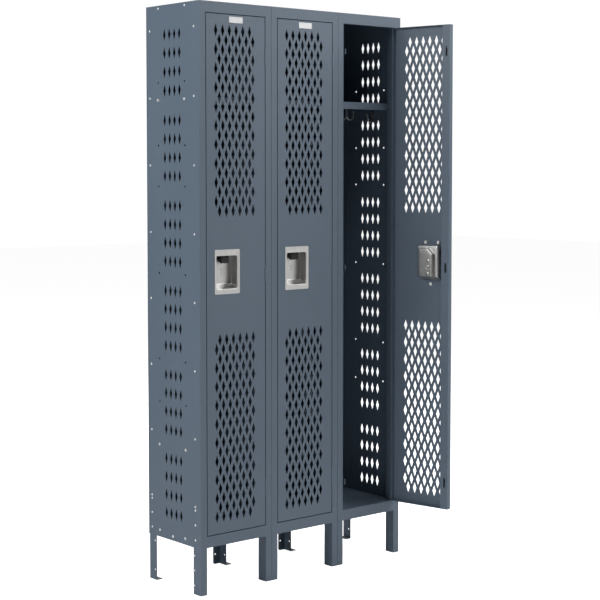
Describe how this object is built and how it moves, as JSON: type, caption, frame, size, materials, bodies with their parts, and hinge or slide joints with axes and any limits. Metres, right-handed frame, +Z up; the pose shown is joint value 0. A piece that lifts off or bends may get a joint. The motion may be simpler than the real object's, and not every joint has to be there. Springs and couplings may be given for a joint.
{
  "type": "locker cabinet",
  "caption": "Ventilated steel athletic locker bank on legs with side-hinged perforated doors, recessed finger-lift handles, hat shelves and coat hooks.",
  "frame": {"origin": "floor level at the middle of the cabinet's footprint, between the four corner floor anchors", "axes": "+Z up, +X to the right seen from the front, -Y is the front (doors)"},
  "size_m": [0.9396, 0.5531, 1.9812],
  "materials": {
    "painted": "semi-gloss powder coat",
    "stainless": "brushed",
    "zinc": "zinc plated",
    "aluminium": "satin",
    "black_plastic": "matte",
    "nylon": "matte",
    "rubber": "matte"
  },
  "bodies": {
    "cabinet": {"left_upright_1": "painted", "right_upright_1": "painted", "left_upright_2": "painted", "right_upright_2": "painted", "left_upright_3": "painted", "right_upright_3": "painted", "headers": "painted", "sills": "painted", "rear_leg_1": "painted", "rear_leg_2": "painted", "rear_leg_3": "painted", "rear_leg_4": "painted", "left_side_panel": "painted", "left_partition": "painted", "right_partition": "painted", "right_side_panel": "painted", "back_panels": "painted", "top_panel": "painted", "bottom_panel_1": "painted", "bottom_panel_2": "painted", "bottom_panel_3": "painted", "shelf_1": "painted", "shelf_2": "painted", "shelf_3": "painted", "ceiling_hooks": "zinc", "wall_hooks": "zinc", "frame_hooks": "painted", "hook_bumpers": "rubber", "hinge_frame_leaves": "painted", "hinge_pins": "zinc", "side_rivets": "zinc", "panel_bolts": "zinc"},
    "door_1": {"door_1": "painted", "number_plate_1": "aluminium", "handle_pocket_1": "stainless", "latch_cover_1": "zinc", "hinge_door_leaves_1": "painted", "bar_guides_1": "nylon", "bar_spring_1": "zinc"},
    "latch_1": {"lock_bar_1": "zinc", "finger_lift_1": "black_plastic"},
    "door_2": {"door_2": "painted", "number_plate_2": "aluminium", "handle_pocket_2": "stainless", "latch_cover_2": "zinc", "hinge_door_leaves_2": "painted", "bar_guides_2": "nylon", "bar_spring_2": "zinc"},
    "latch_2": {"lock_bar_2": "zinc", "finger_lift_2": "black_plastic"},
    "door_3": {"door_3": "painted", "number_plate_3": "aluminium", "handle_pocket_3": "stainless", "latch_cover_3": "zinc", "hinge_door_leaves_3": "painted", "bar_guides_3": "nylon", "bar_spring_3": "zinc"},
    "latch_3": {"lock_bar_3": "zinc", "finger_lift_3": "black_plastic"}
  },
  "joints": [
    {"name": "door_1_hinge", "type": "hinge", "parent": "cabinet", "child": "door_1", "pos_m": [-0.1794, -0.1524, 1.0712], "axis": [0, 0, 1], "range_deg": [0, 160]},
    {"name": "finger_lift_1_slide", "type": "slide", "parent": "door_1", "child": "latch_1", "axis": [0, 0, 1], "range_m": [0, 0.012], "stiffness_N_per_m": 80, "springref_m": -0.02, "deforming": ["bar_spring_1"]},
    {"name": "door_2_hinge", "type": "hinge", "parent": "cabinet", "child": "door_2", "pos_m": [0.1254, -0.1524, 1.0712], "axis": [0, 0, 1], "range_deg": [0, 160]},
    {"name": "finger_lift_2_slide", "type": "slide", "parent": "door_2", "child": "latch_2", "axis": [0, 0, 1], "range_m": [0, 0.012], "stiffness_N_per_m": 80, "springref_m": -0.02, "deforming": ["bar_spring_2"]},
    {"name": "door_3_hinge", "type": "hinge", "parent": "cabinet", "child": "door_3", "pos_m": [0.4302, -0.1524, 1.0712], "axis": [0, 0, 1], "range_deg": [-101.7, 58.3]},
    {"name": "finger_lift_3_slide", "type": "slide", "parent": "door_3", "child": "latch_3", "axis": [0, 0, 1], "range_m": [0, 0.012], "stiffness_N_per_m": 80, "springref_m": -0.02, "deforming": ["bar_spring_3"]}
  ]
}
